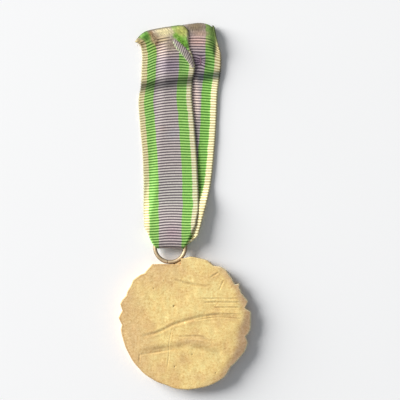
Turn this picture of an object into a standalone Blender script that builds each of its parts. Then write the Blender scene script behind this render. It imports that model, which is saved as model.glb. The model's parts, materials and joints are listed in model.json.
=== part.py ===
"""A gilt service medal on its ribbon, lying flat with the reverse face up.

The ribbon is one strip: its rear fall comes down behind, turns through the suspension ring and goes up
again as the front fall. The ring is a bent wire, brazed to a small saddle lug on the edge of the cast disc.
Frame: metres, +Y from the disc towards the ribbon's top, +X to the right, +Z up. The origin is under the
middle of the whole medal, on the surface it lies on, so the face that lies down is at z = 0.
"""

import math

import bmesh
import bpy
from mathutils import Matrix, Vector

MM = 0.001
COLLECTION = "service_medal"

# The disc, with its obverse down.
DISC_CENTRE = (0.0, -33.9)
DISC_THICKNESS = 3.4
OUTLINE_STEP = 3
FLAT_EDGE = 16.9  # from the disc's centre to the straight stretch beside the ring
FLAT_SPAN = (94, 119)
FIELD_RADII = (6.6, 14.2)  # the sunk field of the obverse, between the boss and the wreath border
FIELD_DEPTH = 0.7

# Tips and notches of the wreath edge: angle in degrees from +X, radius in millimetres.
WREATH_EDGE = (
    (0, 19.2), (9, 19.4), (12, 18.4), (18, 19.1), (26, 18.4), (35, 19.3), (40, 18.5), (45, 18.9), (51, 19.4),
    (57, 18.9), (64, 18.4), (70, 18.7), (76, 18.8), (84, 18.8), (94, 18.6), (119, 19.4), (127, 18.9),
    (134, 19.1), (138, 18.8), (142, 19.3), (147, 18.9), (152, 19.2), (158, 18.8), (164, 19.4), (169, 18.8),
    (176, 19.2), (181, 18.5), (186, 18.5), (200, 18.8), (225, 19.1), (250, 18.8), (264, 19.2), (278, 19.4),
    (294, 19.4), (304, 19.6), (314, 18.9), (323, 18.8), (334, 19.4), (341, 19.3), (346, 18.3), (352, 19.4),
)

# The suspension ring and the lug that holds it.
RING_CENTRE = (-4.3, -12.0)
RING_HEIGHT = 1.9
RING_RADIUS = 4.375
WIRE_RADIUS = 0.575
LUG_ANGLE = -62
LUG_SPAN = (4.95, 6.6)  # from the ring's centre, outwards
LUG_WIDTH = 3.0
LUG_THICKNESS = 2.2
GAP = 0.3

# The ribbon, a strip 15 mm wide. Its falls lie over each other, and each ends short of the next stretch.
CLOTH = 0.5
REAR_HEIGHT = 1.05
FRONT_HEIGHT = 1.85
HEM_HEIGHT = 0.25
BEND_Y = 18.0
TILT_Y = -4.0
BEND_GAP = 1.1
TURN_RADIUS = 1.2
TURN_CENTRE_Y = -10.75
TURN_HALF_WIDTH = 3.5
TURN_STEPS = 8
RUNG_POINTS = 5

# Rungs of each stretch: left end, right end.
FRONT_UPPER = (
    ((-12.7, BEND_Y + BEND_GAP / 2), (2.7, BEND_Y + BEND_GAP / 2)),
    ((-13.4, 31.0), (2.2, 31.0)),
    ((-12.8, 40.0), (2.9, 40.0)),
    ((-12.9, 45.0), (1.9, 46.5)),
    ((-14.1, 47.2), (0.9, 50.8)),
    ((-12.2, 50.0), (0.8, 52.7)),
)
REAR_UPPER = (
    ((-6.6, BEND_Y + BEND_GAP / 2), (8.4, BEND_Y + BEND_GAP / 2)),
    ((-5.6, 33.0), (9.4, 33.0)),
    ((-4.6, 42.0), (10.4, 42.0)),
    ((-5.6, 47.0), (9.3, 47.0)),
    ((-5.4, 51.0), (9.0, 50.8)),
    ((-4.4, 52.2), (6.0, 53.3)),
)
TURNED_END = (
    ((-10.8, 50.4), (5.6, 53.2)),
    ((-12.6, 48.4), (8.8, 50.8)),
    ((-12.4, 45.2), (8.9, 47.0)),
)
FRONT_LOWER = (
    ((-12.6, BEND_Y - BEND_GAP / 2), (2.8, BEND_Y - BEND_GAP / 2)),
    ((-11.9, 8.0), (3.6, 8.0)),
    ((-11.8, TILT_Y + BEND_GAP / 2), (3.8, TILT_Y + BEND_GAP / 2)),
)
REAR_LOWER = (
    ((-6.7, BEND_Y - BEND_GAP / 2), (8.3, BEND_Y - BEND_GAP / 2)),
    ((-7.8, 8.0), (7.2, 8.0)),
    ((-9.2, TILT_Y + BEND_GAP / 2), (5.4, TILT_Y + BEND_GAP / 2)),
)

# The sewing thread.
THREAD_RADIUS = 0.18
THREAD_HEIGHT = 0.25
THREAD_LINE = ((-11.6, 44.3), (8.2, 45.9))
THREAD_WAVES = 7
THREAD_WAVE = 0.35
STITCH_CENTRE = (4.6, 42.2)
STITCH_LENGTH = 2.2


def clear_scene():
    for obj in list(bpy.data.objects):
        bpy.data.objects.remove(obj, do_unlink=True)


def collection(name):
    made = bpy.data.collections.new(name)
    bpy.context.scene.collection.children.link(made)
    return made


def material(name, colour, roughness, metallic):
    made = bpy.data.materials.new(name)
    made.use_nodes = True
    shader = made.node_tree.nodes["Principled BSDF"]
    shader.inputs["Base Color"].default_value = (*colour, 1.0)
    shader.inputs["Roughness"].default_value = roughness
    shader.inputs["Metallic"].default_value = metallic
    return made


def place(obj, home, surface=None):
    """Puts an object in its collection only, and gives it its material."""
    for owner in list(obj.users_collection):
        owner.objects.unlink(obj)
    home.objects.link(obj)
    if surface is not None:
        obj.data.materials.clear()
        obj.data.materials.append(surface)
    return obj


def as_mesh(curve, name, home):
    """The closed mesh of a curve object, in the curve's place. The curve is removed."""
    bpy.context.view_layer.update()
    evaluated = curve.evaluated_get(bpy.context.evaluated_depsgraph_get())
    mesh = bpy.data.meshes.new_from_object(evaluated)
    made = bpy.data.objects.new(name, mesh)
    made.matrix_world = curve.matrix_world.copy()
    home.objects.link(made)
    bpy.data.objects.remove(curve, do_unlink=True)
    welded = bmesh.new()
    welded.from_mesh(mesh)
    bmesh.ops.remove_doubles(welded, verts=welded.verts, dist=0.001 * MM)
    bmesh.ops.recalc_face_normals(welded, faces=welded.faces)
    welded.to_mesh(mesh)
    welded.free()
    return made


def cut(obj, cutter):
    """Takes a cutter's shape out of an object."""
    cutter.hide_render = True
    cutter.display_type = "WIRE"
    tool = obj.modifiers.new("Cut " + cutter.name, "BOOLEAN")
    tool.operation = "DIFFERENCE"
    tool.solver = "EXACT"
    tool.object = cutter


def shade_round(obj, sharp_degrees=40):
    obj.data.shade_smooth()
    obj.data.set_sharp_from_angle(angle=math.radians(sharp_degrees))


def edge_radius(angle):
    """Radius of the disc's edge at an angle in degrees, in millimetres, straight between tips and notches."""
    closed = WREATH_EDGE + ((WREATH_EDGE[0][0] + 360, WREATH_EDGE[0][1]),)
    for (a, r), (b, s) in zip(closed, closed[1:]):
        if a <= angle <= b:
            radius = r + (s - r) * (angle - a) / (b - a)
            break
    if FLAT_SPAN[0] <= angle <= FLAT_SPAN[1]:
        radius = min(radius, FLAT_EDGE / math.sin(math.radians(angle)))
    return radius


def edge_points():
    angles = set(range(0, 360, OUTLINE_STEP)) | {a for a, _ in WREATH_EDGE}
    for angle in sorted(angles):
        radius = edge_radius(angle)
        turn = math.radians(angle)
        yield radius * math.cos(turn) * MM, radius * math.sin(turn) * MM


def make_disc(home, cutters, surface):
    """The cast disc: a plate with a leafy edge, a sunk field round its boss, and room for ring and lug."""
    outline = bpy.data.curves.new("disc_outline", "CURVE")
    outline.dimensions = "2D"
    outline.fill_mode = "BOTH"
    outline.extrude = DISC_THICKNESS / 2 * MM
    points = list(edge_points())
    spline = outline.splines.new("POLY")
    spline.points.add(len(points) - 1)
    for point, (x, y) in zip(spline.points, points):
        point.co = (x, y, 0, 1)
    spline.use_cyclic_u = True
    plate = bpy.data.objects.new("disc_outline", outline)
    home.objects.link(plate)
    plate.location = (DISC_CENTRE[0] * MM, DISC_CENTRE[1] * MM, DISC_THICKNESS / 2 * MM)
    disc = as_mesh(plate, "medal_disc", home)
    place(disc, home, surface)

    inner, outer = FIELD_RADII
    profile = bpy.data.meshes.new("field_cutter")
    corners = [(outer, FIELD_DEPTH), (outer, -1.0), (inner, -1.0), (inner, FIELD_DEPTH)]
    loop = [(r * MM, 0, z * MM) for r, z in corners]
    profile.from_pydata(loop, [(0, 1), (1, 2), (2, 3), (3, 0)], [])
    field = bpy.data.objects.new("field_cutter", profile)
    cutters.objects.link(field)
    field.location = (DISC_CENTRE[0] * MM, DISC_CENTRE[1] * MM, 0)
    turned = field.modifiers.new("Turned", "SCREW")
    turned.axis = "Z"
    turned.steps = 48
    turned.render_steps = 48
    turned.use_merge_vertices = True
    turned.merge_threshold = 0.00001
    cut(disc, field)

    bpy.ops.mesh.primitive_cylinder_add(
        vertices=64, radius=(RING_RADIUS + WIRE_RADIUS + GAP) * MM, depth=4 * DISC_THICKNESS * MM,
        location=(RING_CENTRE[0] * MM, RING_CENTRE[1] * MM, RING_HEIGHT * MM),
    )
    room = bpy.context.object
    room.name = "ring_room_cutter"
    place(room, cutters)
    cut(disc, room)

    slot = lug_block("lug_room_cutter", LUG_SPAN[0], LUG_SPAN[1] + GAP, LUG_WIDTH + 2 * GAP, 4 * DISC_THICKNESS)
    place(slot, cutters)
    cut(disc, slot)
    return disc


def lug_block(name, inner, outer, width, thickness):
    """A block on the ring's radius at the lug's angle, between two distances from the ring's centre."""
    bpy.ops.mesh.primitive_cube_add(size=1)
    block = bpy.context.object
    block.name = name
    turn = math.radians(LUG_ANGLE)
    middle = (inner + outer) / 2
    block.data.transform(Matrix.Diagonal(((outer - inner) * MM, width * MM, thickness * MM, 1.0)))
    block.rotation_euler = (0, 0, turn)
    block.location = (
        (RING_CENTRE[0] + middle * math.cos(turn)) * MM,
        (RING_CENTRE[1] + middle * math.sin(turn)) * MM,
        RING_HEIGHT * MM,
    )
    return block


def make_ring(home, surface):
    """The suspension ring, a bent wire lying in the plane of the disc. Its origin is its own centre."""
    bpy.ops.mesh.primitive_torus_add(
        major_radius=RING_RADIUS * MM, minor_radius=WIRE_RADIUS * MM, major_segments=48, minor_segments=12,
        location=(RING_CENTRE[0] * MM, RING_CENTRE[1] * MM, RING_HEIGHT * MM),
    )
    ring = bpy.context.object
    ring.name = "suspension_ring"
    place(ring, home, surface)
    shade_round(ring)
    return ring


def make_lug(home, cutters, surface):
    """The saddle lug on the disc's edge, hollowed to the wire that is brazed into it."""
    lug = lug_block("suspension_lug", LUG_SPAN[0], LUG_SPAN[1], LUG_WIDTH, LUG_THICKNESS)
    place(lug, home, surface)
    edges = lug.modifiers.new("Worn edges", "BEVEL")
    edges.width = 0.3 * MM
    edges.segments = 2
    bpy.ops.mesh.primitive_torus_add(
        major_radius=RING_RADIUS * MM, minor_radius=(WIRE_RADIUS + GAP) * MM, major_segments=96, minor_segments=24,
        location=(RING_CENTRE[0] * MM, RING_CENTRE[1] * MM, RING_HEIGHT * MM),
    )
    groove = bpy.context.object
    groove.name = "wire_groove_cutter"
    place(groove, cutters)
    cut(lug, groove)
    return lug


def make_sheet(name, rungs, home, surface, pivot=(0.0, 0.0, 0.0)):
    """A stretch of ribbon through rungs of (left end, right end, height), as thick as the cloth."""
    made = bmesh.new()
    rows = []
    for left, right, height in rungs:
        a = Vector((left[0], left[1], height))
        b = Vector((right[0], right[1], height))
        row = [a.lerp(b, i / (RUNG_POINTS - 1)) for i in range(RUNG_POINTS)]
        rows.append([made.verts.new((p - Vector(pivot)) * MM) for p in row])
    for low, high in zip(rows, rows[1:]):
        for i in range(RUNG_POINTS - 1):
            made.faces.new((low[i], low[i + 1], high[i + 1], high[i]))
    mesh = bpy.data.meshes.new(name)
    made.to_mesh(mesh)
    made.free()
    sheet = bpy.data.objects.new(name, mesh)
    sheet.location = Vector(pivot) * MM
    place(sheet, home, surface)
    cloth = sheet.modifiers.new("Cloth", "SOLIDIFY")
    cloth.thickness = CLOTH * MM
    cloth.offset = 0.0
    cloth.use_even_offset = True
    shade_round(sheet)
    return sheet


def level(rungs, height):
    return [(left, right, height) for left, right in rungs]


def turn_rungs():
    """Rungs of the stretch inside the ring: down from the front fall, round the turn, and up behind."""
    start_y = TILT_Y - BEND_GAP / 2
    ring_x, ring_z = RING_CENTRE[0], RING_HEIGHT
    front_z = ring_z + TURN_RADIUS
    rear_z = ring_z - TURN_RADIUS
    yield (-11.6, start_y), (3.4, start_y), FRONT_HEIGHT
    yield (-10.9, -6.6), (2.4, -6.6), front_z
    yield (-9.3, -9.4), (0.9, -9.4), front_z
    for step in range(TURN_STEPS + 1):
        turn = math.pi * step / TURN_STEPS
        y = TURN_CENTRE_Y - TURN_RADIUS * math.sin(turn)
        z = ring_z + TURN_RADIUS * math.cos(turn)
        yield (ring_x - TURN_HALF_WIDTH, y), (ring_x + TURN_HALF_WIDTH, y), z
    yield (-8.6, -9.4), (2.6, -9.4), rear_z
    yield (-9.2, -6.6), (4.6, -6.6), rear_z
    yield (-9.3, start_y), (5.2, start_y), REAR_HEIGHT


def make_thread(name, points, home, surface):
    """A sewing thread through a list of points."""
    line = bpy.data.curves.new(name, "CURVE")
    line.dimensions = "3D"
    line.bevel_depth = THREAD_RADIUS * MM
    line.bevel_resolution = 2
    line.use_fill_caps = True
    spline = line.splines.new("POLY")
    spline.points.add(len(points) - 1)
    for point, place_at in zip(spline.points, points):
        point.co = (*(Vector(place_at) * MM), 1)
    thread = bpy.data.objects.new(name + "_line", line)
    home.objects.link(thread)
    made = as_mesh(thread, name, home)
    place(made, home, surface)
    shade_round(made, 60)
    return made


def hem_thread_points():
    """The thread that whips the turned end down, waving along its free edge."""
    start, end = (Vector((*p, THREAD_HEIGHT)) for p in THREAD_LINE)
    count = THREAD_WAVES * 8
    across = (end - start).normalized().cross(Vector((0, 0, 1)))
    for i in range(count + 1):
        share = i / count
        yield start.lerp(end, share) + across * THREAD_WAVE * math.sin(math.tau * THREAD_WAVES * share)


def stitch_points():
    """The one stitch that shows on the rear fall, a short bar arched over the cloth."""
    count = 8
    top = REAR_HEIGHT + CLOTH / 2 + GAP + THREAD_RADIUS
    for i in range(count + 1):
        share = i / count
        y = STITCH_CENTRE[1] + STITCH_LENGTH * (share - 0.5)
        yield Vector((STITCH_CENTRE[0], y, top + 0.2 * math.sin(math.pi * share)))


def main():
    clear_scene()
    home = collection(COLLECTION)
    cutters = collection("cutters")

    gilt = material("gilt", (0.82, 0.61, 0.26), 0.48, 1.0)
    wire = material("bronze_wire", (0.42, 0.36, 0.25), 0.35, 1.0)
    ribbon = material("ribbon", (0.40, 0.52, 0.30), 0.85, 0.0)
    thread = material("thread", (0.62, 0.50, 0.38), 0.9, 0.0)

    make_disc(home, cutters, gilt)
    make_lug(home, cutters, gilt)
    make_ring(home, wire)

    bend = (0.0, BEND_Y, (REAR_HEIGHT + FRONT_HEIGHT) / 2)
    tilt = (0.0, TILT_Y, (REAR_HEIGHT + FRONT_HEIGHT) / 2)
    make_sheet("ribbon_front_upper", level(FRONT_UPPER, FRONT_HEIGHT), home, ribbon)
    make_sheet("ribbon_rear_upper", level(REAR_UPPER, REAR_HEIGHT), home, ribbon)
    make_sheet("ribbon_turned_end", level(TURNED_END, HEM_HEIGHT), home, ribbon)
    make_sheet("ribbon_front_lower", level(FRONT_LOWER, FRONT_HEIGHT), home, ribbon, bend)
    make_sheet("ribbon_rear_lower", level(REAR_LOWER, REAR_HEIGHT), home, ribbon, bend)
    make_sheet("ribbon_turn", list(turn_rungs()), home, ribbon, tilt)
    make_thread("hem_thread", list(hem_thread_points()), home, thread)
    make_thread("ribbon_stitch", list(stitch_points()), home, thread)


main()
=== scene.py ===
"""The looks of the service medal: striped rep ribbon, wire ring and cast gilt disc, lying reverse side up.

Everything is worked out in millimetres in the shared frame and scaled to metres when its mesh is made.
"""

import json
import math
import random

import bpy
import numpy as np
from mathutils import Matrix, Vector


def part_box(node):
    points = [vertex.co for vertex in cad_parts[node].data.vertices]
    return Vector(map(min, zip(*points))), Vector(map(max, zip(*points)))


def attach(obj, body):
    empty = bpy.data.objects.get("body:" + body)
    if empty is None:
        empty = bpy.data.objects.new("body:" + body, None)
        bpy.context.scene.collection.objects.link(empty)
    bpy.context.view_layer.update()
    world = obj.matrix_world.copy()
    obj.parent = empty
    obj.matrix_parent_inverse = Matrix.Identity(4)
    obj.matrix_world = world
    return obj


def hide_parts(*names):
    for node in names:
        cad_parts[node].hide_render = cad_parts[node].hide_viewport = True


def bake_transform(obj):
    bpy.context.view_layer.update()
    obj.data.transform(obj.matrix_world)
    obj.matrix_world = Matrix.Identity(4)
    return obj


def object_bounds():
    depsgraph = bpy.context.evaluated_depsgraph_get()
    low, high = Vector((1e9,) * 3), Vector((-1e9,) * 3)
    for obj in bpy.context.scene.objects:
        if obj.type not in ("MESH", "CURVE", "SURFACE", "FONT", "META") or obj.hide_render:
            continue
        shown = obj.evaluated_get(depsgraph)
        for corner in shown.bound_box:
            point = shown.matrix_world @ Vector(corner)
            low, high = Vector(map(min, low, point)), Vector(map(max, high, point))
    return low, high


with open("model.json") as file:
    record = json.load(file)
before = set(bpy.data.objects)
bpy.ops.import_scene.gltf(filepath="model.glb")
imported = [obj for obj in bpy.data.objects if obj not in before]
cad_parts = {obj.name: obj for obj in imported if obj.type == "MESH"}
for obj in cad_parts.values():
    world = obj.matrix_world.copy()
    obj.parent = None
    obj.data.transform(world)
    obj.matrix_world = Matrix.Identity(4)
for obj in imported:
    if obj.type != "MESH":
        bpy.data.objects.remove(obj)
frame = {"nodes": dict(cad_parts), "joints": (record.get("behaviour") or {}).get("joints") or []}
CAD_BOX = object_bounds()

MM = 0.001
WELD_DISTANCE = 0.001 * MM
JOINTS = {joint["name"]: joint for joint in frame["joints"]}
RING_CENTRE = np.array(JOINTS["ring_turn"]["pos_m"]) / MM

# ---- ribbon
RIB_PITCH = 0.79
ROWS_PER_RIB = 8
COLUMNS = 77
HALF_WIDTH = 7.45
CLOTH = 0.22
RIB_HEIGHT = 0.11
SELVEDGE = 0.27
ROLL_RADIUS = 0.34
CUT_Y = 6.5  # the falls and the bend round the ring meet here, in a groove between two ribs
RIB_UNEVENNESS = 0.05  # how far the stripes stray sideways from rib to rib
REAR_SHIFT = 0.35  # the rear fall's stripes lie this far to the left of the front fall's

# Half widths of the stripes, from the middle of the strip.
MAUVE = 3.3
GREEN = 6.02

STITCH = (4.6, 42.2)
RING_LIFT = 1.9  # how far the rear fall's right edge stands up beside the ring
EDGE_LIFT = 0.22  # and further up
SAG = 0.85  # share of its height that the front fall loses where nothing lies under it

# The soiled crease that crosses each fall: x, y there, and its rise for each millimetre to the right.
FRONT_CREASE = (-5.0, 35.7, 0.13)
REAR_CREASE = (6.0, 37.8, 0.10)

# The strip's line from its turned end behind the top, down the front, round the ring and up the back.
# Each point: x, y, z, half width to the left and to the right: less than the cloth's own where an edge rolls
# back, more where the cloth is pulled out.
STRIP = (
    (-4.6, 45.8, 0.32, 7.45, 7.45),
    (-5.4, 48.6, 0.32, 7.45, 7.45),
    (-7.0, 51.0, 0.42, 7.45, 7.45),
    (-7.3, 51.7, 1.00, 8.3, 7.45),
    (-7.1, 51.0, 1.75, 8.3, 7.45),
    (-5.8, 49.3, 1.95, 7.5, 6.4),
    (-5.0, 46.0, 1.80, 7.6, 5.75),
    (-5.0, 43.5, 1.60, 7.6, 6.8),
    (-5.2, 41.0, 1.32, 7.5, 7.95),
    (-5.5, 36.5, 0.98, 7.4, 7.7),
    (-5.9, 32.0, 0.80, 7.6, 7.8),
    (-5.4, 25.0, 0.75, 7.65, 7.9),
    (-4.8, 16.2, 0.76, 7.45, 8.0),
    (-4.3, 7.5, 1.00, 7.6, 7.95),
    (-4.3, 2.0, 1.45, 7.6, 8.15),
    (-4.3, -1.2, 2.00, 7.6, 8.1),
    (-4.25, -5.0, 2.65, 7.2, 7.2),
    (-4.25, -7.0, 2.90, 6.35, 6.2),
    (-4.25, -9.2, 3.00, 5.35, 5.3),
    (-4.25, -10.8, 2.92, 4.6, 4.5),
    (-4.3, -11.8, 2.60, 3.9, 3.9),
    (-4.3, -12.15, 1.90, 3.55, 3.55),
    (-4.3, -11.8, 1.15, 3.9, 3.9),
    (-4.2, -10.8, 0.80, 4.9, 5.1),
    (-3.9, -9.0, 0.62, 5.6, 6.9),
    (-3.3, -7.0, 0.55, 6.5, 7.45),
    (-2.5, -4.0, 0.45, 7.45, 7.45),
    (-1.1, 1.5, 0.32, 7.45, 7.45),
    (0.1, 7.5, 0.27, 7.45, 7.45),
    (1.0, 16.2, 0.26, 7.45, 7.45),
    (1.6, 25.0, 0.26, 7.45, 7.45),
    (2.0, 33.7, 0.32, 7.45, 7.45),
    (2.9, 41.0, 0.76, 7.45, 7.5),
    (3.1, 45.0, 1.15, 7.45, 7.3),
    (3.1, 49.0, 1.35, 7.45, 6.5),
    (3.1, 52.3, 1.35, 7.45, 6.0),
    (3.1, 53.1, 1.05, 7.45, 5.8),
    (3.1, 52.3, 0.75, 7.45, 5.8),
    (3.1, 47.6, 0.70, 7.45, 6.2),
)

# How steeply the ribs run, in degrees up to the right: y, then the slope at each of these places across.
SLOPE_PLACES = (-7.6, -6.5, -5.0, -3.0, 0.0, 3.0, 5.0, 7.6)
FRONT_SLOPES = (
    (-12.0, (0, 0, 0, 3, 0, -3, 0, 0)),
    (-9.4, (0, 0, 2, 8, 0, -4, 6, 10)),
    (-5.9, (0, 1, 2, 9, 1, -5, 0, 8)),
    (-1.2, (8, 6, 6, 7, 1, -3, -1, 1)),
    (4.6, (5, 4, 3, 6, 3, 0, 0, 2)),
    (10.4, (5, 5, 5, 6, 3, -1, 0, 0)),
    (16.2, (12, 10, 9, 8, 3, -1, -2, 0)),
    (22.1, (12, 11, 11, 8, 4, 0, -3, -2)),
    (27.9, (8, 12, 15, 12, 6, 1, -2, 0)),
    (33.7, (4, 10, 17, 12, 8, 2, -1, 1)),
    (36.6, (2, 8, 24, 16, 6, 2, 1, 5)),
    (39.5, (0, 6, 25, 16, 5, 1, -5, -6)),
    (43.0, (0, 6, 26, 13, 5, 0, -8, -8)),
    (46.0, (0, 10, 28, 14, 7, 3, 8, 20)),
    (48.8, (2, 14, 28, 10, 9, 8, 8, 4)),
    (50.2, (40, 40, 26, 10, 9, 8, 8, 0)),
    (51.8, (62, 54, 42, 14, 10, 9, 8, -20)),
)
REAR_SLOPES = (
    (16.2, (0, 0, 0, 0, 0, 0, 0, 0)),
    (22.1, (0, 0, 0, 0, -2, -3, -2, 0)),
    (33.7, (0, 0, 0, 0, 0, -3, -5, -6)),
    (37.5, (0, 0, 0, 0, -4, -6, -10, -10)),
    (41.0, (0, 0, 0, 0, -6, -9, -11, -12)),
    (44.0, (2, 2, 2, 0, 0, -5, -11, -22)),
    (47.5, (4, 4, 4, 2, 0, -4, -24, -40)),
    (53.2, (10, 10, 10, 9, 7, -14, -42, -60)),
)


def catmull(points, per_span):
    """A smooth line through rows of numbers, with per_span samples between each two."""
    rows = np.array(points, float)
    rows = np.vstack([2 * rows[0] - rows[1], rows, 2 * rows[-1] - rows[-2]])
    t = np.linspace(0, 1, per_span, endpoint=False)[:, None]
    out = []
    for p0, p1, p2, p3 in zip(rows, rows[1:], rows[2:], rows[3:]):
        square = (2 * p0 - 5 * p1 + 4 * p2 - p3) * t**2
        cube = (3 * p1 - p0 - 3 * p2 + p3) * t**3
        out.append(0.5 * (2 * p1 + (p2 - p0) * t + square + cube))
    out.append(rows[-2][None, :])
    return np.vstack(out)


def length_along(points):
    return np.concatenate([[0], np.cumsum(np.linalg.norm(np.diff(points, axis=0), axis=1))])


def resample(line, step):
    """The line at even steps of its own length, seen from the side, and that length at each sample."""
    length = length_along(line[:, 1:3])
    count = int(length[-1] / step)
    wanted = np.arange(count + 1) * step
    return np.stack([np.interp(wanted, length, line[:, k]) for k in range(line.shape[1])], axis=1), wanted


def unit(vectors):
    return vectors / (np.linalg.norm(vectors, axis=-1, keepdims=True) + 1e-12)


def smooth_step(low, high, value):
    t = np.clip((value - low) / (high - low), 0, 1)
    return t * t * (3 - 2 * t)


def wavy(x, y, seed, scale):
    """Smooth made-up unevenness between -1 and 1."""
    rng = np.random.default_rng(seed)
    total = np.zeros(np.broadcast(x, y).shape)
    for _ in range(6):
        kx, ky = rng.normal(0, 1 / scale, 2)
        total = total + np.sin(kx * x + ky * y + rng.uniform(0, math.tau))
    return total / 4


def linear(red, green, blue):
    """A colour given as it looks on a screen, 0 to 255, in the scene's linear values."""
    return tuple(((c / 255 + 0.055) / 1.055) ** 2.4 for c in (red, green, blue))


def rib_profile(along):
    phase = (along / RIB_PITCH) % 1.0
    return np.sqrt(np.clip(1 - (2 * phase - 1) ** 2, 0, 1))


def roll_edges(a, left, right):
    """Sideways place and depth behind the face across the strip, its edges rolled back past a half width."""
    half = np.where(a < 0, left, right)
    reach = np.abs(a) * np.maximum(half / HALF_WIDTH, 1.0)
    over = np.clip(reach - half, 0, None)
    arc = np.clip(over / ROLL_RADIUS, 0, math.pi)
    rest = np.clip(over - math.pi * ROLL_RADIUS, 0, None)
    side = np.minimum(reach, half) + ROLL_RADIUS * np.sin(arc) - rest
    depth = ROLL_RADIUS * (1 - np.cos(arc))
    return np.sign(a) * side, depth


def grid_faces(rows, columns, start=0, flip=False):
    i, j = np.meshgrid(np.arange(rows - 1), np.arange(columns - 1), indexing="ij")
    a = (start + i * columns + j).ravel()
    quad = np.stack([a, a + 1, a + columns + 1, a + columns], axis=1)
    return quad[:, ::-1] if flip else quad


def wrapped_faces(rows, turns, closed=False, flip=False):
    """The faces of a grid that closes on itself round each row, and from last row to first if closed."""
    i, j = np.meshgrid(np.arange(rows if closed else rows - 1), np.arange(turns), indexing="ij")
    here, above = i * turns, (i + 1) % rows * turns
    beside = (j + 1) % turns
    quads = np.stack([here + j, here + beside, above + beside, above + j], axis=-1).reshape(-1, 4)
    return quads[:, [0, 3, 2, 1]] if flip else quads


def make_mesh(name, points, quads, attributes):
    """An object from points in millimetres and four-sided faces, with named point attributes."""
    mesh = bpy.data.meshes.new(name)
    mesh.vertices.add(len(points))
    mesh.vertices.foreach_set("co", (np.asarray(points) * MM).astype(np.float32).ravel())
    mesh.loops.add(quads.size)
    mesh.loops.foreach_set("vertex_index", quads.astype(np.int32).ravel())
    mesh.polygons.add(len(quads))
    mesh.polygons.foreach_set("loop_start", np.arange(0, quads.size, 4, dtype=np.int32))
    mesh.polygons.foreach_set("use_smooth", np.full(len(quads), True))
    mesh.update(calc_edges=True)
    mesh.validate()
    for key, values in attributes.items():
        values = np.asarray(values, np.float32)
        if values.ndim == 1:
            mesh.attributes.new(key, "FLOAT", "POINT").data.foreach_set("value", values)
        else:
            rgba = np.hstack([values, np.ones((len(values), 1), np.float32)])
            mesh.attributes.new(key, "FLOAT_COLOR", "POINT").data.foreach_set("color", rgba.ravel())
    obj = bpy.data.objects.new(name, mesh)
    bpy.context.scene.collection.objects.link(obj)
    return obj


def cloth_from(name, middle, along, across, wear, tint, paint_colour, paint_share):
    """A closed cloth mesh of its own thickness round a grid of middle points, with the ribs on both faces."""
    rows, columns, _ = middle.shape
    down = np.gradient(middle, axis=0)
    sideways = np.gradient(middle, axis=1)
    normal = unit(np.cross(down, sideways))
    rib = rib_profile(along)
    threads = np.abs(np.sin(math.pi * across / 0.42 + 0.8 * wavy(across, along, 5, 1.5)))
    half = CLOTH / 2 + RIB_HEIGHT * rib * (1 - 0.85 * wear) + 0.07 * threads * wear
    bulge = SELVEDGE * rib * (1 - wear)
    outward = unit(sideways)
    middle = middle.copy()
    middle[:, 0] -= outward[:, 0] * bulge[:, 0, None]
    middle[:, -1] += outward[:, -1] * bulge[:, -1, None]
    half[:, 0] *= 0.6
    half[:, -1] *= 0.6
    outer = (middle + normal * half[..., None]).reshape(-1, 3)
    inner = (middle - normal * half[..., None]).reshape(-1, 3)
    count = rows * columns
    faces = [grid_faces(rows, columns), grid_faces(rows, columns, count, flip=True)]
    left, first = np.arange(rows - 1) * columns, np.arange(columns - 1)
    right, last = left + columns - 1, first + (rows - 1) * columns
    for at, step, turn in ((left, columns, 1), (right, columns, -1), (first, 1, -1), (last, 1, 1)):
        rim = np.stack([at, at + step, at + step + count, at + count], axis=1)
        faces.append(rim[:, ::turn])
    on_grid = {"along": along, "across": across, "wear": wear, "tint": tint,
               "paint": paint_colour, "paint_share": paint_share}
    attributes = {key: np.concatenate([v.reshape(count, *v.shape[2:])] * 2) for key, v in on_grid.items()}
    return make_mesh(name, np.vstack([outer, inner]), np.vstack(faces), attributes)


def spot(x, y, centre, reach, power=2.0):
    """A soft spot: 1 at its centre, fading out at its reach in x and y, more sharply for a higher power."""
    distance = np.hypot((x - centre[0]) / reach[0], (y - centre[1]) / reach[1])
    return np.exp(-(distance**power) * 1.8)


def blend_colour(tint, colour, amount):
    return tint * (1 - amount[..., None]) + np.array(colour) * amount[..., None]


def above_crease(x, y, crease):
    return y - crease[1] - crease[2] * (x - crease[0])


# Faded and stained places, and on the rear fall one painted light: the colour that multiplies the stripes'
# own, strength, middle, reach.
FRONT_STAINS = (
    ((0.62, 0.55, 0.74), 0.85, (-4.0, 41.2), (5.0, 4.4)),
    ((1.22, 0.98, 0.78), 0.80, (-8.0, 46.8), (3.2, 3.4)),
    ((1.12, 0.98, 0.84), 0.60, (-5.0, 46.0), (6.0, 4.0)),
    ((1.00, 0.82, 0.72), 0.35, (-6.4, 22.5), (2.4, 1.3)),
    ((0.88, 1.05, 1.20), 0.35, (-3.5, 21.0), (3.0, 2.4)),
    ((0.96, 0.80, 0.92), 0.80, (-3.4, -8.0), (3.2, 3.6)),
    ((0.90, 1.05, 1.10), 0.30, (-10.4, 25.0), (2.2, 4.0)),
)
REAR_STAINS_AND_LIGHT = (
    ((1.28, 1.02, 1.00), 0.85, (4.0, 47.6), (4.6, 3.0)),
    ((0.62, 0.48, 0.70), 0.85, (4.0, 42.2), (4.4, 4.0)),
    ((0.75, 0.92, 1.10), 0.35, (8.4, 41.0), (1.6, 2.0)),
    # Painted light: brightens the rear fall's mauve strip where the front fall's shadow lies on it.
    ((2.00, 1.80, 1.64), 0.95, (3.0, 30.4), (1.5, 7.4), 4.0),  # the last is its sharpness
    ((0.80, 0.80, 0.84), 0.60, (3.2, 18.0), (1.6, 9.0)),
    ((0.40, 0.42, 0.36), 0.70, (7.6, 47.4), (1.7, 3.0)),
)


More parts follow.
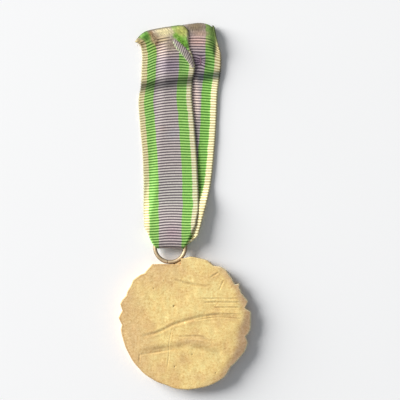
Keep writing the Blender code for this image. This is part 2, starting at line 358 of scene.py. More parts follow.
def strip_tint(x, y, front):
    """Stains, fading and soiling, and on the rear fall one painted light, as a colour that multiplies the
    stripes' own.
    """
    tint = np.ones(x.shape + (3,))
    shade = 1 + 0.05 * wavy(x, y, 11, 3.0) + 0.03 * wavy(x, y, 12, 0.8)
    tint *= shade[..., None]
    if front:
        soiled = np.exp(-((np.abs(above_crease(x, y, FRONT_CREASE)) / 1.85) ** 2.6) * 1.2)
        soiled = np.clip((0.95 + 0.1 * wavy(x, y, 13, 1.5)) * soiled, 0, 1)
        tint = blend_colour(tint, (0.17, 0.185, 0.19), soiled)
        low = 0.7 * smooth_step(14.0, 6.0, y) * smooth_step(-4.0, 2.0, y)
        tint = blend_colour(tint, (0.94, 1.02, 0.98), low)
    else:
        soiled = np.exp(-((np.abs(above_crease(x, y, REAR_CREASE)) / 1.6) ** 2.6) * 1.2)
        tint = blend_colour(tint, (0.13, 0.19, 0.24), 0.95 * soiled)
    for colour, strength, *place in FRONT_STAINS if front else REAR_STAINS_AND_LIGHT:
        tint = blend_colour(tint, colour, strength * spot(x, y, *place))
    return tint


def slopes_at(table, y, a):
    """The ribs' slope in radians at each row's y and each place across, read off a table."""
    stations = [row[0] for row in table]
    columns = np.array([row[1] for row in table], float)
    by_row = np.stack([np.interp(y, stations, columns[:, k]) for k in range(len(SLOPE_PLACES))], axis=1)
    return np.radians(np.stack([np.interp(a, SLOPE_PLACES, row) for row in by_row]))


def strip_grid():
    """The whole strip as a grid of middle points, with each point's place along and across the cloth."""
    line, along = resample(catmull(STRIP, 60), RIB_PITCH / ROWS_PER_RIB)
    centre, left, right = line[:, :3], line[:, 3], line[:, 4]
    tangent = np.gradient(centre, axis=0)
    tangent[:, 0] = 0
    tangent = unit(tangent)
    outward = np.stack([np.zeros(len(line)), tangent[:, 2], -tangent[:, 1]], axis=1)
    across = np.linspace(-HALF_WIDTH, HALF_WIDTH, COLUMNS)
    a = np.broadcast_to(across, (len(line), COLUMNS))
    side, depth = roll_edges(a, left[:, None], right[:, None])

    turn = int(np.argmin(centre[:, 1])) + 1
    front_slope = slopes_at(FRONT_SLOPES, centre[:turn, 1], across)
    slope = np.vstack([front_slope, slopes_at(REAR_SLOPES, centre[turn:, 1], across)])
    step = np.diff(side, axis=1)
    middle_slope = (slope[:, 1:] + slope[:, :-1]) / 2
    middle = centre[:, None, :] - outward[:, None, :] * depth[..., None]
    for axis, share in ((0, np.cos(middle_slope)), (1, np.sin(middle_slope))):
        path = np.hstack([np.zeros((len(line), 1)), np.cumsum(step * share, axis=1)])
        middle[..., axis] += path - path[:, COLUMNS // 2, None]
    along = np.broadcast_to(along[:, None], a.shape)
    return middle, along, a, centre


def settle(middle, a, front):
    """Lets the front fall sag, lifts the rear fall's right edge, and gives the cloth its small waves."""
    x, y, z = middle[..., 0], middle[..., 1], middle[..., 2].copy()
    wave = 0.10 * wavy(x, y, 21, 4.0)
    flat = smooth_step(-9.0, -3.0, y)
    if front:
        rear_edge = np.interp(y, [-4.0, 7.5, 25.0, 41.0, 50.0], [-9.8, -7.2, -5.9, -4.8, -4.5])
        free = smooth_step(0.2, 3.6, rear_edge - x) * flat * smooth_step(52.5, 44.0, y)
        z = z - free * np.clip(z - 0.38, 0, None) * SAG
        crease = np.exp(-((above_crease(x, y, FRONT_CREASE) / 0.9) ** 2))
        z = z - 0.16 * crease
    else:
        by_ring = RING_LIFT * smooth_step(0.5, HALF_WIDTH, a) ** 2.2
        z = z + by_ring * smooth_step(-12.0, -8.5, y) * smooth_step(7.0, -1.0, y)
        further_up = EDGE_LIFT * smooth_step(2.6, HALF_WIDTH, a)
        z = z + further_up * smooth_step(-1.0, 7.0, y) * smooth_step(44.0, 38.0, y)
    z = z + wave * flat
    out = middle.copy()
    if not front:
        near = np.exp(-(((x - STITCH[0]) / 1.1) ** 2) - ((y - STITCH[1]) / 1.5) ** 2)
        out[..., 1] -= 0.62 * (y - STITCH[1]) * near
        z = z - 0.22 * near
    out[..., 2] = np.maximum(z, CLOTH / 2 + RIB_HEIGHT)
    return out


# Where the bare threads of the worn top end: x, y along each fall.
FRONT_WORN_LINE = ((-14.0, 47.2), (-12.0, 48.3), (-9.8, 47.9), (-8.9, 47.0), (-8.0, 48.8), (-4.6, 49.2),
                   (-3.6, 48.2), (-1.5, 47.6), (0.6, 46.2))
REAR_WORN_LINE = ((0.0, 49.3), (7.0, 49.3), (8.2, 48.2), (9.4, 47.0))


def top_wear(x, y, front):
    """How far the ribs are worn away to bare threads: all along the turned top, and in one rubbed patch."""
    line = FRONT_WORN_LINE if front else REAR_WORN_LINE
    edge = np.interp(x, [p[0] for p in line], [p[1] for p in line])
    mix_level = smooth_step(-0.3, 0.3, y - edge + 0.25 * wavy(x, y, 81, 0.8))
    if front:
        mix_level = mix_level + 0.95 * spot(x, y, (-3.9, 46.9), (1.8, 1.6), 4.0)
    return np.clip(mix_level, 0, 1)


# Soiled, bleached and darker places: colour, strength, middle of the spot, its reach in x and y.
FRONT_SPOTS = (
    ((240, 226, 172), 0.95, (-6.0, 50.6), (3.8, 2.0)),
    ((196, 174, 132), 0.80, (-6.6, 48.5), (3.0, 1.3)),
    ((180, 162, 142), 0.90, (-3.9, 46.9), (2.3, 2.0)),
    ((196, 198, 108), 0.97, (-0.9, 50.9), (3.0, 2.6)),
    ((126, 130, 58), 0.85, (0.3, 52.0), (1.1, 1.2)),
    ((138, 196, 66), 0.92, (-2.7, 49.5), (1.0, 1.1)),
    ((142, 206, 70), 0.95, (-1.4, 48.4), (1.3, 1.4)),
    ((136, 200, 68), 0.95, (-0.2, 47.3), (1.2, 1.4)),
    ((136, 196, 84), 0.90, (0.4, 46.0), (0.8, 1.1)),
    ((214, 184, 142), 0.90, (-9.0, 48.7), (1.4, 1.9)),
    ((166, 128, 80), 0.90, (-10.0, 50.2), (1.0, 1.2)),
    ((138, 106, 62), 0.85, (-8.3, 47.5), (0.7, 0.7)),
    ((84, 142, 46), 0.92, (-11.3, 49.3), (1.4, 1.8)),
    ((196, 172, 122), 0.97, (-13.0, 47.4), (1.9, 1.5)),
    ((98, 92, 62), 0.85, (-13.7, 49.6), (1.1, 1.6)),
)
REAR_SPOTS = (
    ((140, 122, 92), 0.92, (3.2, 52.2), (4.4, 2.4)),
    ((196, 166, 146), 0.85, (4.6, 50.2), (3.2, 1.1)),
    ((226, 182, 168), 0.50, (3.6, 48.2), (4.2, 1.7)),
    ((96, 116, 58), 0.98, (8.9, 51.2), (2.5, 3.6)),
    ((88, 122, 52), 0.88, (8.3, 47.6), (1.3, 3.6)),
    # A dark line down beside the right-hand cream edge, at the top.
    ((50, 74, 32), 0.85, (8.6, 45.4), (0.6, 2.8)),
    ((244, 228, 172), 0.95, (4.9, -0.6), (1.3, 4.6)),
)


def paint_over(x, y, spots):
    """The colour laid over the stripes by a set of spots, and how much of it covers them."""
    colour = np.full(x.shape + (3,), 0.5)
    share = np.zeros(x.shape)
    for spot_colour, strength, centre, reach in spots:
        amount = strength * spot(x, y, centre, reach, 3.0)
        keep = (1 - amount) * share
        total = np.maximum(keep + amount, 1e-6)
        added = np.array(linear(*spot_colour)) * amount[..., None]
        colour = (colour * keep[..., None] + added) / total[..., None]
        share = keep + amount
    return colour, share


# The twisted selvedge at the front fall's upper right: x, y, z, half width.
CURLED_EDGE = (
    (-3.2, 48.2, 2.05, 0.40),
    (-2.2, 47.0, 2.14, 0.80),
    (-1.1, 45.8, 2.12, 0.95),
    (0.0, 44.6, 2.02, 0.95),
    (1.0, 43.3, 1.84, 0.85),
    (1.85, 41.9, 1.60, 0.62),
    (2.35, 40.4, 1.35, 0.38),
)


def make_curled_edge():
    """The stretch of selvedge that has twisted over onto the front fall, its ribs running steeply."""
    line = catmull(CURLED_EDGE, 24)
    columns = 15
    tangent = unit(np.gradient(line[:, :3], axis=0))
    sideways = np.stack([-tangent[:, 1], tangent[:, 0], np.zeros(len(line))], axis=1)
    a = np.linspace(1, -1, columns)
    middle = line[:, None, :3] + sideways[:, None, :] * (a[:, None] * line[:, None, 3:4])
    middle[..., 2] += 0.12 * (1 - a**2) - 0.08 - 0.10 * (a > 0) * a**2
    length = length_along(line[:, :3])
    along = 1.1 * length[:, None] + 0.62 * a * line[:, 3:4]
    across = np.broadcast_to(3.0 - 0.45 * a, along.shape)
    shape = along.shape
    paint_colour = np.broadcast_to(np.array(linear(186, 172, 166)), shape + (3,))
    share = 0.62 + 0.30 * np.broadcast_to(smooth_step(4.5, 7.5, length)[:, None], shape)
    tint = np.ones(shape + (3,))
    wear = np.full(shape, 0.3)
    return cloth_from("curled_edge", middle, along, across, wear, tint, paint_colour, share)


def tube(points, radius, sides=5):
    """Points and faces of a thin closed tube along a line."""
    points = np.asarray(points, float)
    tangent = unit(np.gradient(points, axis=0))
    first = unit(np.cross(tangent, (0.3, 0.2, 1.0)))
    second = np.cross(tangent, first)
    around = np.arange(sides) * math.tau / sides
    taper = np.ones(len(points))
    taper[0] = taper[-1] = 0.15
    circle = first[:, None, :] * np.cos(around)[:, None] + second[:, None, :] * np.sin(around)[:, None]
    rings = points[:, None, :] + circle * (radius * taper)[:, None, None]
    return rings.reshape(-1, 3), wrapped_faces(len(points), sides)


# Where loose fibres stick out of the worn top: start, end, height, colour, how many.
FRAYS = (
    ((-13.9, 46.9), (-12.9, 47.4), 1.5, (208, 190, 142), 9),
    ((-10.2, 49.8), (-8.2, 47.2), 2.15, (232, 206, 166), 22),
    ((-9.8, 49.8), (-8.4, 46.8), 2.15, (150, 112, 66), 12),
    ((-2.8, 49.4), (0.2, 46.4), 2.15, (150, 204, 84), 28),
    ((-5.0, 47.4), (-3.0, 46.2), 2.05, (194, 174, 158), 14),
)


def make_frays():
    """Short loose fibres along the worn top, on the tangled patch and along the green diagonal."""
    rng = random.Random(8)
    all_points, all_faces, colours = [], [], []
    start = 0
    for first, last, height, colour, count in FRAYS:
        for _ in range(count):
            share = rng.random()
            base = np.array([first[k] + share * (last[k] - first[k]) for k in (0, 1)] + [height])
            base[2] += rng.uniform(-0.15, 0.15)
            heading = math.radians(rng.uniform(40, 140) + rng.choice((0, 180)))
            length = rng.uniform(0.4, 1.0)
            bend = rng.uniform(-0.9, 0.9)
            line = [base]
            for step in range(5):
                turn = heading + bend * step / 5
                rise = 0.10 * math.sin(math.pi * step / 5) - 0.05
                ahead = np.array([math.cos(turn), math.sin(turn), 0.0]) * length / 5
                line.append(line[-1] + ahead + [0, 0, rise * 0.5])
            points, faces = tube(line, rng.uniform(0.028, 0.045))
            all_points.append(points)
            all_faces.append(faces + start)
            start += len(points)
            tone = rng.uniform(0.75, 1.15)
            colours.append(np.tile(np.array(linear(*colour)) * tone, (len(points), 1)))
    points = np.vstack(all_points)
    flat = np.zeros(len(points))
    attributes = {
        "along": flat + RIB_PITCH / 2, "across": flat, "wear": flat + 1, "tint": np.ones((len(points), 3)),
        "paint": np.vstack(colours), "paint_share": flat + 1,
    }
    return make_mesh("ribbon_frayed_fibres", points, np.vstack(all_faces), attributes)


def join(main_piece, other):
    """Joins another object's mesh into a piece."""
    bpy.ops.object.select_all(action="DESELECT")
    other.select_set(True)
    main_piece.select_set(True)
    bpy.context.view_layer.objects.active = main_piece
    bpy.ops.object.join()


def weather_and_shade_stripes(tint, woven, across, y, front):
    """The right-hand cream bleached, the rear fall's green duller, painted shade along the selvedges' very
    edges.
    """
    pale = smooth_step(5.6, 6.2, woven)[..., None]
    if front:
        tint = tint * (1 + pale * (0.03, 0.14, 0.32))
    else:
        tint = tint * (1 + pale * smooth_step(41.0, 34.0, y)[..., None] * (0.36, 0.46, 0.57))
        green = smooth_step(3.2, 3.4, woven) * smooth_step(6.2, 5.9, woven)
        tint = tint * (1 - green[..., None] * (0.16, 0.07, 0.20))
    tint = tint * (1 - smooth_step(-5.6, -6.2, woven)[..., None] * (0.04, 0.0, 0.0))
    # Painted shade along the strip's very edges.
    return tint * (1 - 0.45 * smooth_step(7.1, 7.4, np.abs(across)))[..., None]


def make_ribbon():
    """The strip in three pieces, cut in a groove on each fall so that each piece crosses one joint only."""
    middle, along, across, centre = strip_grid()
    turn = int(np.argmin(centre[:, 1])) + 1
    groove = np.arange(0, len(centre), ROWS_PER_RIB)
    from_cut = np.abs(centre[groove, 1] - CUT_Y)
    front_cut = groove[np.argmin(np.where(groove >= turn, np.inf, from_cut))]
    rear_cut = groove[np.argmin(np.where(groove < turn, np.inf, from_cut))]
    rib = (along / RIB_PITCH).astype(int)
    woven = across + np.random.default_rng(31).normal(0, RIB_UNEVENNESS, rib.max() + 1)[rib]
    falls = []
    for front, rows in ((True, slice(None, turn)), (False, slice(turn, None))):
        cloth = settle(middle[rows], across[rows], front)
        x, y = cloth[..., 0], cloth[..., 1]
        shift = 0 if front else REAR_SHIFT * smooth_step(-10.0, -4.0, y)
        stripe = woven[rows] + shift
        tint = weather_and_shade_stripes(strip_tint(x, y, front), stripe, across[rows], y, front)
        painted = paint_over(x, y, FRONT_SPOTS if front else REAR_SPOTS)
        falls.append((cloth, stripe, top_wear(x, y, front), tint, *painted))
    middle, woven, wear, tint, colour, share = (np.concatenate(pair) for pair in zip(*falls))
    # Painted shade along the turned top, where the cloth folds over: the tint and the painted spots are
    # darkened there.
    fold_shade = smooth_step(0.985, 0.62, np.abs(np.gradient(centre[:, 1]) / (RIB_PITCH / ROWS_PER_RIB)))
    fold_shade = np.where(centre[:, 1] > 0, fold_shade, 0.0)[:, None] * np.ones(share.shape)
    tint = blend_colour(tint, (0.20, 0.19, 0.13), 0.92 * fold_shade)
    colour = colour * (1 - 0.80 * fold_shade[..., None])
    grids = (middle, along, woven, wear, tint, colour, share)
    spans = (
        ("ribbon_front_fall", 0, front_cut + 1),
        ("ribbon_ring_bend", front_cut, rear_cut + 1),
        ("ribbon_rear_fall", rear_cut, len(centre)),
    )
    front, bend, rear = (cloth_from(name, *(grid[i:j] for grid in grids)) for name, i, j in spans)
    join(front, make_curled_edge())
    return front, bend, rear


# ---- materials
def new_material(name):
    material = bpy.data.materials.new(name)
    material.use_nodes = True
    tree = material.node_tree
    tree.nodes.clear()
    output = tree.nodes.new("ShaderNodeOutputMaterial")
    shader = tree.nodes.new("ShaderNodeBsdfPrincipled")
    tree.links.new(shader.outputs["BSDF"], output.inputs["Surface"])
    return material, tree, shader


def node(tree, kind, inputs=None, **settings):
    made = tree.nodes.new(kind)
    for key, value in settings.items():
        setattr(made, key, value)
    for key, value in (inputs or {}).items():
        socket = made.inputs[key]
        if isinstance(value, bpy.types.NodeSocket):
            tree.links.new(value, socket)
        else:
            socket.default_value = value
    return made


def maths(tree, operation, a, b=0.0, c=0.0):
    return node(tree, "ShaderNodeMath", {0: a, 1: b, 2: c}, operation=operation).outputs[0]


def times(tree, a, b):
    return maths(tree, "MULTIPLY", a, b)


def spread(tree, value, amount):
    """A value between 0 and 1 turned into one that swings that amount about zero."""
    return times(tree, maths(tree, "SUBTRACT", value, 0.5), amount)


def object_place(tree):
    return node(tree, "ShaderNodeTexCoord").outputs["Object"]


def attribute(tree, name, output="Fac"):
    return node(tree, "ShaderNodeAttribute", attribute_name=name).outputs[output]


def ramp(tree, factor, stops):
    made = node(tree, "ShaderNodeValToRGB", {"Fac": factor})
    elements = made.color_ramp.elements
    while len(elements) > 1:
        elements.remove(elements[-1])
    elements[0].position = stops[0][0]
    elements[0].color = (*stops[0][1], 1.0)
    for place, colour in stops[1:]:
        element = elements.new(place)
        element.color = (*colour, 1.0)
    return made.outputs["Color"]


def mix_colour(tree, factor, a, b, blend="MIX"):
    a, b = ((*value, 1.0) if isinstance(value, tuple) else value for value in (a, b))
    settings = {"data_type": "RGBA", "blend_type": blend, "clamp_factor": True}
    return node(tree, "ShaderNodeMix", {0: factor, 6: a, 7: b}, **settings).outputs[2]


def noise(tree, vector, scale, detail=4.0, roughness=0.55):
    inputs = {"Vector": vector, "Scale": scale, "Detail": detail, "Roughness": roughness}
    return node(tree, "ShaderNodeTexNoise", inputs).outputs["Fac"]


def vary_roughness(tree, shader, factor, smoothest, roughest):
    made = node(tree, "ShaderNodeMapRange", {"Value": factor, "To Min": smoothest, "To Max": roughest})
    tree.links.new(made.outputs[0], shader.inputs["Roughness"])


def surface(tree, shader, colour, height, strength, depth):
    """The colour, and fine relief in the shading only, its depth in millimetres."""
    tree.links.new(colour, shader.inputs["Base Color"])
    made = node(tree, "ShaderNodeBump", {"Height": height, "Strength": strength, "Distance": depth * MM})
    tree.links.new(made.outputs[0], shader.inputs["Normal"])


def grey(value):
    return (value, value, value)


# Each stripe's colour on the ridges, and down in the grooves darkened as painted shade.
CREAM = (linear(250, 238, 190), linear(182, 161, 110))
LEAF_GREEN = (linear(186, 236, 134), linear(64, 128, 30))
GREY_MAUVE = (linear(226, 214, 210), linear(88, 78, 86))


def ribbon_material():
    """Rep weave: stripes across, ribs along with a painted highlight on the ridges and painted shade in the
    grooves, fine warp threads over the ribs.
    """
    material, tree, shader = new_material("rep_ribbon")
    across = attribute(tree, "across")
    along = attribute(tree, "along")
    wear = attribute(tree, "wear")
    tint = attribute(tree, "tint", "Color")
    paint_colour = attribute(tree, "paint", "Color")
    paint_share = attribute(tree, "paint_share")
    cloth = node(tree, "ShaderNodeCombineXYZ", {"X": across, "Y": along, "Z": 0.0}).outputs[0]

    ragged = noise(tree, cloth, 2.2, 3.0)
    shifted = maths(tree, "ADD", across, spread(tree, ragged, 0.35))
    span = {"Value": shifted, "From Min": -HALF_WIDTH, "From Max": HALF_WIDTH}
    share = node(tree, "ShaderNodeMapRange", span).outputs[0]

    def stripes(which):
        soft = 0.10
        edges = ((-GREEN, CREAM, LEAF_GREEN), (-MAUVE, LEAF_GREEN, GREY_MAUVE),
                 (MAUVE, GREY_MAUVE, LEAF_GREEN), (GREEN, LEAF_GREEN, CREAM))
        stops = []
        for edge, before, after in edges:
            stops.append((0.5 + (edge - soft) / (2 * HALF_WIDTH), before[which]))
            stops.append((0.5 + (edge + soft) / (2 * HALF_WIDTH), after[which]))
        return ramp(tree, share, stops)

    stretch = {0: cloth, 1: (7.0, 0.9, 1.0)}
    streaks = node(tree, "ShaderNodeVectorMath", stretch, operation="MULTIPLY").outputs[0]
    thread_tone = noise(tree, streaks, 1.0, 4.0, 0.6)
    phase = maths(tree, "FRACT", maths(tree, "DIVIDE", along, RIB_PITCH))
    # crest carries the painted shade in the grooves and the painted highlight on the ridges.
    crest = ramp(tree, phase, [(0.0, grey(0.0)), (0.17, grey(0.10)), (0.38, grey(0.95)), (0.62, grey(0.95)),
                               (0.83, grey(0.10)), (1.0, grey(0.0))])
    crest = mix_colour(tree, times(tree, wear, 0.9), crest, grey(0.55))
    crest = maths(tree, "ADD", crest, times(tree, spread(tree, thread_tone, 2.4), wear))
    colour = mix_colour(tree, crest, stripes(1), stripes(0))
    colour = mix_colour(tree, 1.0, colour, tint, "MULTIPLY")
    # The painted spots get the same painted shade in the grooves and painted highlight on the ridges.
    shade = ramp(tree, crest, [(0.0, grey(0.42)), (1.0, grey(1.18))])
    painted = mix_colour(tree, 1.0, paint_colour, shade, "MULTIPLY")
    colour = mix_colour(tree, paint_share, colour, painted)
    thread_shade = ramp(tree, thread_tone, [(0.3, grey(0.80)), (0.7, grey(1.18))])
    colour = mix_colour(tree, 1.0, colour, thread_shade, "MULTIPLY")
    shader.inputs["Roughness"].default_value = 0.72
    shader.inputs["Specular IOR Level"].default_value = 0.25
    shader.inputs["Sheen Weight"].default_value = 0.15
    shader.inputs["Sheen Roughness"].default_value = 0.45

    warp = maths(tree, "SINE", times(tree, across, math.tau / 0.19))
    height = maths(tree, "MULTIPLY_ADD", warp, 0.35, times(tree, thread_tone, 1.2))
    surface(tree, shader, colour, height, 0.35, 0.05)
    return material


# ---- disc
DISC_FROM_RING = (4.3, -21.9)
DISC_CENTRE = (RING_CENTRE[0] + DISC_FROM_RING[0], RING_CENTRE[1] + DISC_FROM_RING[1])
DISC_BOX = [np.array(corner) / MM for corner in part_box("medal_disc")]
DISC_TOP = DISC_BOX[1][2]
FLAT_EDGE = 16.9  # how far from the centre the straight stretch at the upper left lies
FLAT_SPAN = (94, 119)

# Tips and notches of the wreath edge: angle in degrees from +X, radius in millimetres.
WREATH_EDGE = (
    (0, 19.2), (6, 19.3), (8.9, 19.45), (12.5, 18.25), (14.1, 18.05), (18.5, 19.4), (23, 18.9),
    (27.3, 18.55), (33, 18.9), (35.6, 19.5), (36.6, 18.5), (39, 18.4), (45, 18.85), (51.5, 19.4),
    (57, 19.2), (63, 18.5), (70, 19.15), (77, 19.2), (85, 19.15), (90, 18.7), (94, 18.6), (119, 19.45),
    (122, 19.1), (129.4, 18.45), (134, 19.0), (141, 19.4), (145, 19.0), (151, 19.0), (155.6, 18.75),
    (160, 19.3), (164, 19.55), (169, 18.5), (175.7, 19.25), (182, 18.3), (186, 18.65), (204, 18.6),
    (219, 18.75), (236, 19.0), (255, 19.0), (263.5, 19.4), (279, 19.5), (293.4, 19.65), (306, 19.6),
    (316, 18.55), (325, 18.9), (333.6, 19.35), (342, 19.3), (345, 18.6), (346.9, 18.05), (350, 18.7),
    (354, 19.2),
)

# Marks left in the reverse, from the disc's centre: points, half width, depth (a ridge is negative).
TOOL_MARKS = (
    (((-12.2, -3.9), (-8.4, -2.9), (-4.9, -1.4), (-3.2, -0.5), (1.5, 0.9), (6.1, 1.9), (9.6, 2.25),
      (16.0, 1.95)), 0.40, 0.10),
    (((-3.2, -0.3), (1.5, 1.2), (6.1, 2.2)), 0.8, 0.06),
    (((3.0, 0.7), (9.6, 1.6), (16.4, 1.15)), 0.20, 0.08),
    (((9.6, 2.7), (16.4, 2.4)), 0.16, 0.06),
    (((-3.5, -1.0), (-4.05, -3.2), (-4.6, -6.4), (-4.7, -9.9), (-5.2, -13.4)), 0.18, 0.035),
    (((-12.8, -9.0), (-8.4, -7.8), (-3.5, -7.0), (1.5, -6.7), (6.1, -7.5), (10.5, -9.0)), 0.85, 0.11),
    (((-13.1, -9.3), (-8.4, -8.6), (-3.5, -7.8)), 0.25, 0.06),
    (((-1.7, -4.0), (4.1, -3.9), (6.1, -4.6), (8.2, -5.5)), 0.26, 0.06),
    (((1.0, -4.9), (5.0, -5.2), (7.5, -6.4)), 0.30, -0.05),
    (((4.1, 7.0), (15.5, 7.0)), 0.20, 0.06),
    (((5.6, 5.9), (16.0, 5.9)), 0.20, 0.08),
    (((8.5, 4.4), (16.0, 4.4)), 0.22, 0.07),
    (((-2.9, 12.6), (-0.3, 11.7), (3.2, 11.0), (7.0, 10.5)), 0.35, 0.06),
    (((7.3, 13.1), (9.9, 14.6)), 0.25, 0.07),
    (((10.0, 9.5), (11.2, 12.2)), 0.22, 0.05),
    (((-13.1, -9.0), (-13.3, -11.6)), 0.22, 0.04),
)
# Pits: place, half width, depth.
PITS = (
    ((-3.1, 4.8), 0.20, 0.24), ((-9.0, 9.9), 0.20, 0.10), ((-2.9, -12.8), 0.22, 0.12),
    ((2.2, -9.2), 0.20, 0.10), ((9.0, -14.6), 0.20, 0.08), ((-6.0, 12.2), 0.16, 0.06),
    ((11.8, -7.6), 0.18, 0.06),
)

# Where the right rim starts to slope down: angle in degrees, radius.
RIM_START = (
    (-62, 18.6), (-54, 18.0), (-45, 17.1), (-32, 16.35), (-16, 15.75), (-4, 16.0), (11, 16.7),
    (29, 17.2), (45, 17.45), (60, 18.4),
)


def edge_radius(angle):
    """Radius of the disc's edge at an angle in degrees, straight between tips and notches."""
    stops = WREATH_EDGE + ((WREATH_EDGE[0][0] + 360, WREATH_EDGE[0][1]),)
    radius = np.interp(angle % 360, [a for a, _ in stops], [r for _, r in stops])
    flat = (angle >= FLAT_SPAN[0]) & (angle <= FLAT_SPAN[1])
    straight = FLAT_EDGE / np.sin(np.radians(np.where(flat, angle, 90)))
    return np.where(flat, np.minimum(radius, straight), radius)


def distance_to_line(x, y, points):
    """Distance to a line of points, and how far along it the nearest place is, from 0 to 1."""
    best = np.full(x.shape, 1e9)
    share = np.zeros(x.shape)
    count = len(points) - 1
    for k, ((ax, ay), (bx, by)) in enumerate(zip(points, points[1:])):
        dx, dy = bx - ax, by - ay
        t = np.clip(((x - ax) * dx + (y - ay) * dy) / (dx * dx + dy * dy), 0, 1)
        distance = np.hypot(x - ax - t * dx, y - ay - t * dy)
        share = np.where(distance < best, (k + t) / count, share)
        best = np.minimum(best, distance)
    return best, share


def tool_marks(x, y):
    """Depth of the tool marks and how strongly their dirt shows."""
    depth_here = np.zeros(x.shape)
    dirt_and_shade = np.zeros(x.shape)
    for points, width, depth in TOOL_MARKS:
        d, share = distance_to_line(x, y, catmull(points, 8))
        fade = (0.72 + 0.28 * wavy(x, y, 51, 1.2)) * np.clip(3.2 * np.sqrt(share * (1 - share)), 0, 1)
        raised_side = 0.3 * np.exp(-(((d - 1.9 * width) / width) ** 2))
        depth_here += fade * depth * (np.exp(-((d / width) ** 2)) - raised_side)
        soiled = np.sign(depth) * fade * np.exp(-((d / (1.1 * width)) ** 2))
        dirt_and_shade = np.maximum(dirt_and_shade, soiled * min(1.0, abs(depth) / 0.09))
    for centre, width, depth in PITS:
        d = np.hypot(x - centre[0], y - centre[1]) / width
        depth_here += depth * np.exp(-(d**2))
        dirt_and_shade = np.maximum(dirt_and_shade, 2.2 * depth / 0.24 * np.exp(-(d**2)))
    return depth_here, dirt_and_shade


def reverse_shape(x, y, share):
    """Height of the rough reverse, how far it is on the sloping right rim, and its dirt."""
    angle = np.degrees(np.arctan2(y, x))
    radius = np.hypot(x, y)
    lean = np.clip(1.4 * np.cos(np.radians(angle + 4)), 0, 1)
    inner = np.interp(angle, [place for place, _ in RIM_START], [start for _, start in RIM_START])
    inner = inner + 0.35 * wavy(x, y, 33, 1.8)
    past = radius - inner - 0.4
    slope = smooth_step(-1.4, 1.4, past)
    fall = 0.5 * (past + np.hypot(past, 1.1)) - 0.1
    height = DISC_TOP - 0.10 - 0.21 * fall * lean - 0.05 * (radius / 19.0) ** 2
    height = height + 0.05 * wavy(x, y, 31, 3.5) * (1 - slope)
    height = height + 0.018 * wavy(x, y, 32, 0.7) + 0.012 * wavy(x, y, 34, 0.35)
    depth, dirt_and_shade = tool_marks(x, y)
    height = height - depth
    height = height - 0.22 * smooth_step(0.985, 1.0, share) ** 2
    return height, slope * lean, dirt_and_shade


# The made-up obverse: its beads, and the star's tips and notches.
BEAD_RING = 13.4
BEAD_PITCH = 0.74
STAR_RADII = (9.6, 3.9)
FIELD_HEIGHT = 0.78  # the sunk field above the obverse's highest relief


def leaf(x, y, centre, heading, length, width):
    """A laurel leaf seen from above: height 1 on its midrib, 0 outside its outline."""
    dx, dy = x - centre[0], y - centre[1]
    u = (dx * math.cos(heading) + dy * math.sin(heading)) / (length / 2)
    v = (-dx * math.sin(heading) + dy * math.cos(heading)) / (width / 2)
    body = 1 - u * u
    inside = np.clip(1 - (v / np.maximum(body, 1e-3)) ** 2, 0, 1) * (np.abs(u) < 1)
    return np.sqrt(inside) * (1 - 0.25 * np.exp(-((v / 0.14) ** 2)))


def obverse_relief(x, y):
    """Height above the field of a made-up obverse: a laurel wreath round a plain five-pointed star."""
    radius = np.hypot(x, y)
    relief = np.zeros(x.shape)
    for side in (-1, 1):
        for k in range(15):
            turn = math.radians(-90 + side * (14 + k * 11.2))
            for ring, spread in ((15.6, 24), (17.7, -26)):
                centre = (ring * math.cos(turn), ring * math.sin(turn))
                heading = turn + side * math.radians(90 - spread)
                relief = np.maximum(relief, 0.95 * leaf(x, y, centre, heading, 4.9, 2.0) + 0.002 * k)
    relief = np.maximum(relief, 0.8 * smooth_step(1.5, 1.1, np.hypot(x, (y + 16.6) * 1.2)))
    bead = np.abs(radius - BEAD_RING)
    round_it = ((np.arctan2(y, x) * BEAD_RING / BEAD_PITCH) % 1 - 0.5) / 0.5
    relief = np.maximum(relief, 0.45 * np.sqrt(np.clip(1 - (bead / 0.32) ** 2 - round_it**2, 0, 1)))
    angle = (np.arctan2(y, x) - math.pi / 2) % (math.tau / 5)
    angle = np.abs(np.where(angle > math.pi / 5, angle - math.tau / 5, angle))
    tip, notch = STAR_RADII
    edge = tip * notch * math.sin(math.pi / 5) / (
        notch * np.sin(math.pi / 5 - angle) + tip * np.sin(angle) + 1e-9
    )
    relief = np.maximum(relief, 0.98 * np.clip(1 - radius / np.maximum(edge, 1e-6), 0, 1) ** 0.55)
    return relief


